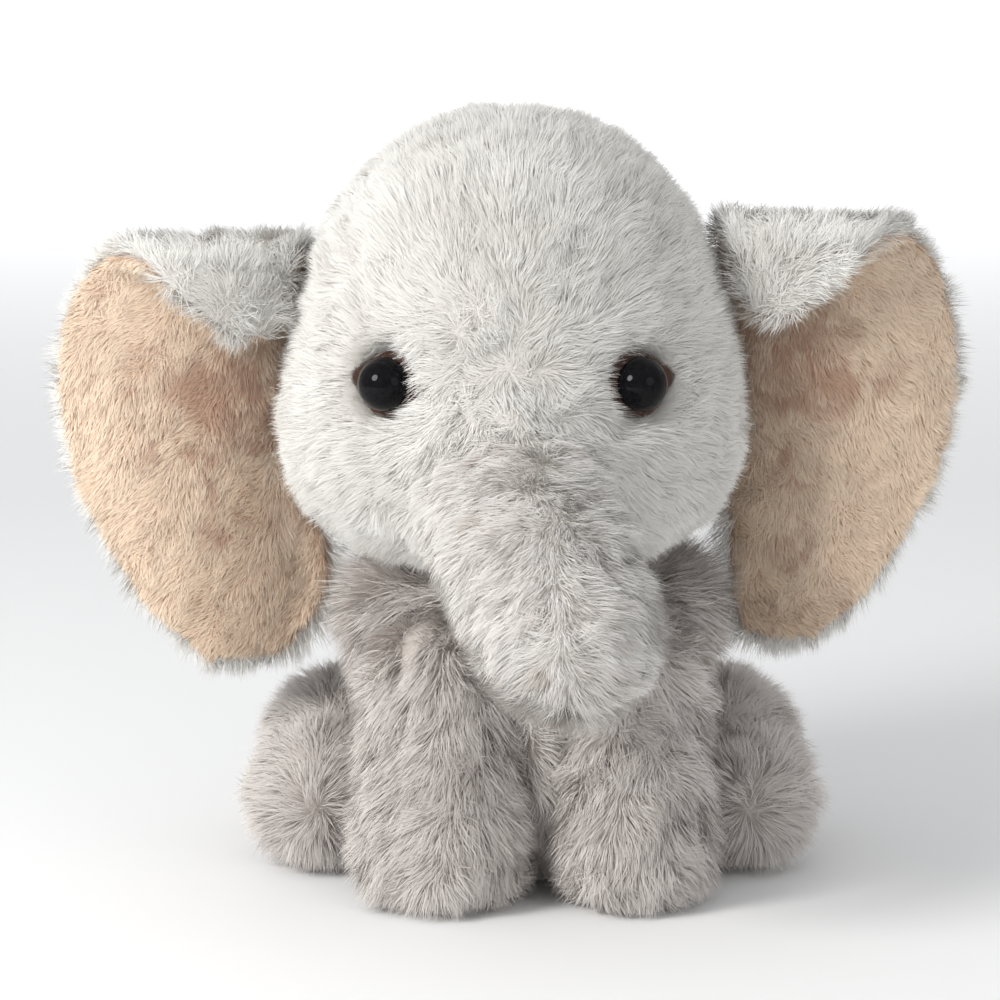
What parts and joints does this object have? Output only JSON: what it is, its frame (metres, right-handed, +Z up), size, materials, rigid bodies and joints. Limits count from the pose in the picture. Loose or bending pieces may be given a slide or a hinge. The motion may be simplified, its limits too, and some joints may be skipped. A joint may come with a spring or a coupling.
{
  "type": "stuffed toy elephant",
  "caption": "Sitting plush elephant with large lined ears, a drooping trunk and safety eyes, jointed at the neck, trunk, ears, legs and tail.",
  "frame": {"origin": "centre of the toy's outline on the surface it sits on", "axes": "+Z up, the face looks along -Y, +X to the right of a viewer facing it"},
  "size_m": [0.2144, 0.1684, 0.1845],
  "materials": {
    "plush_light": "soft pile, light grey-white",
    "plush_warm_grey": "longer pile, warm grey",
    "plush_lining": "short pile, beige-pink",
    "stuffing": "polyester fibre",
    "eye_black": "polished black",
    "felt_brown": "matt felt",
    "washer_plastic": "moulded",
    "pellet_cloth": "plain weave bag of pellets",
    "thread": "sewing thread",
    "label_tape": "woven tape, blank"
  },
  "bodies": {
    "torso": {"belly_panel": "plush_warm_grey", "back_left_panel": "plush_warm_grey", "back_right_panel": "plush_warm_grey", "torso_stuffing": "stuffing", "pellet_bag": "pellet_cloth", "closing_stitch": "thread", "care_label": "label_tape"},
    "neck": {"neck_collar": "plush_warm_grey", "neck_stuffing": "stuffing"},
    "head": {"head_left_panel": "plush_light", "head_right_panel": "plush_light", "head_back_panel": "plush_light", "head_stuffing": "stuffing", "eye_left": "eye_black", "eye_right": "eye_black", "eye_felt_left": "felt_brown", "eye_felt_right": "felt_brown", "eye_washer_left": "washer_plastic", "eye_washer_right": "washer_plastic"},
    "trunk": {"trunk_upper_panel": "plush_light", "trunk_under_panel": "plush_light", "trunk_stuffing": "stuffing"},
    "ear_left": {"ear_outer_left": "plush_light", "ear_lining_left": "plush_lining"},
    "ear_right": {"ear_outer_right": "plush_light", "ear_lining_right": "plush_lining"},
    "tail": {"tail": "plush_warm_grey", "tail_tuft": "plush_warm_grey"},
    "front_leg_left": {"front_leg_left_panel": "plush_warm_grey", "front_leg_left_sole": "plush_warm_grey", "front_leg_left_stuffing": "stuffing"},
    "front_leg_right": {"front_leg_right_panel": "plush_warm_grey", "front_leg_right_sole": "plush_warm_grey", "front_leg_right_stuffing": "stuffing"},
    "hind_leg_left": {"hind_leg_left_panel": "plush_warm_grey", "hind_leg_left_sole": "plush_warm_grey", "hind_leg_left_stuffing": "stuffing"},
    "hind_leg_right": {"hind_leg_right_panel": "plush_warm_grey", "hind_leg_right_sole": "plush_warm_grey", "hind_leg_right_stuffing": "stuffing"}
  },
  "joints": [
    {"name": "neck_turn", "type": "hinge", "parent": "torso", "child": "neck", "pos_m": [0, 0.0172, 0.076], "axis": [0, 0, 1], "range_deg": [-15, 15], "stiffness_Nm_per_rad": 0.3},
    {"name": "head_nod", "type": "hinge", "parent": "neck", "child": "head", "pos_m": [0, 0.0172, 0.076], "axis": [1, 0, 0], "range_deg": [-7, 5], "stiffness_Nm_per_rad": 0.5},
    {"name": "trunk_lift", "type": "hinge", "parent": "head", "child": "trunk", "pos_m": [0.0005, -0.0238, 0.1], "axis": [-1, 0, 0], "range_deg": [-10, 24], "stiffness_Nm_per_rad": 0.1},
    {"name": "ear_left_flap", "type": "hinge", "parent": "head", "child": "ear_left", "pos_m": [-0.0524, 0.0272, 0.12], "axis": [0.0956, 0, 0.9954], "range_deg": [-22, 12], "stiffness_Nm_per_rad": 0.02},
    {"name": "ear_right_flap", "type": "hinge", "parent": "head", "child": "ear_right", "pos_m": [0.0524, 0.0272, 0.125], "axis": [0.0956, 0, -0.9954], "range_deg": [-22, 12], "stiffness_Nm_per_rad": 0.02},
    {"name": "front_leg_left_swing", "type": "hinge", "parent": "torso", "child": "front_leg_left", "pos_m": [-0.0168, -0.0058, 0.052], "axis": [-1, 0, 0], "range_deg": [-5, 18], "stiffness_Nm_per_rad": 0.3},
    {"name": "front_leg_right_swing", "type": "hinge", "parent": "torso", "child": "front_leg_right", "pos_m": [0.0286, -0.0058, 0.052], "axis": [-1, 0, 0], "range_deg": [-5, 18], "stiffness_Nm_per_rad": 0.3},
    {"name": "hind_leg_left_lift", "type": "hinge", "parent": "torso", "child": "hind_leg_left", "pos_m": [-0.0452, 0.0412, 0.022], "axis": [-1, 0, 0], "range_deg": [0, 18], "stiffness_Nm_per_rad": 0.3},
    {"name": "hind_leg_right_lift", "type": "hinge", "parent": "torso", "child": "hind_leg_right", "pos_m": [0.0548, 0.0412, 0.022], "axis": [-1, 0, 0], "range_deg": [0, 18], "stiffness_Nm_per_rad": 0.3},
    {"name": "tail_wag", "type": "hinge", "parent": "torso", "child": "tail", "pos_m": [0.0048, 0.0682, 0.04], "axis": [0, 0, 1], "range_deg": [-25, 25], "stiffness_Nm_per_rad": 0.01}
  ]
}
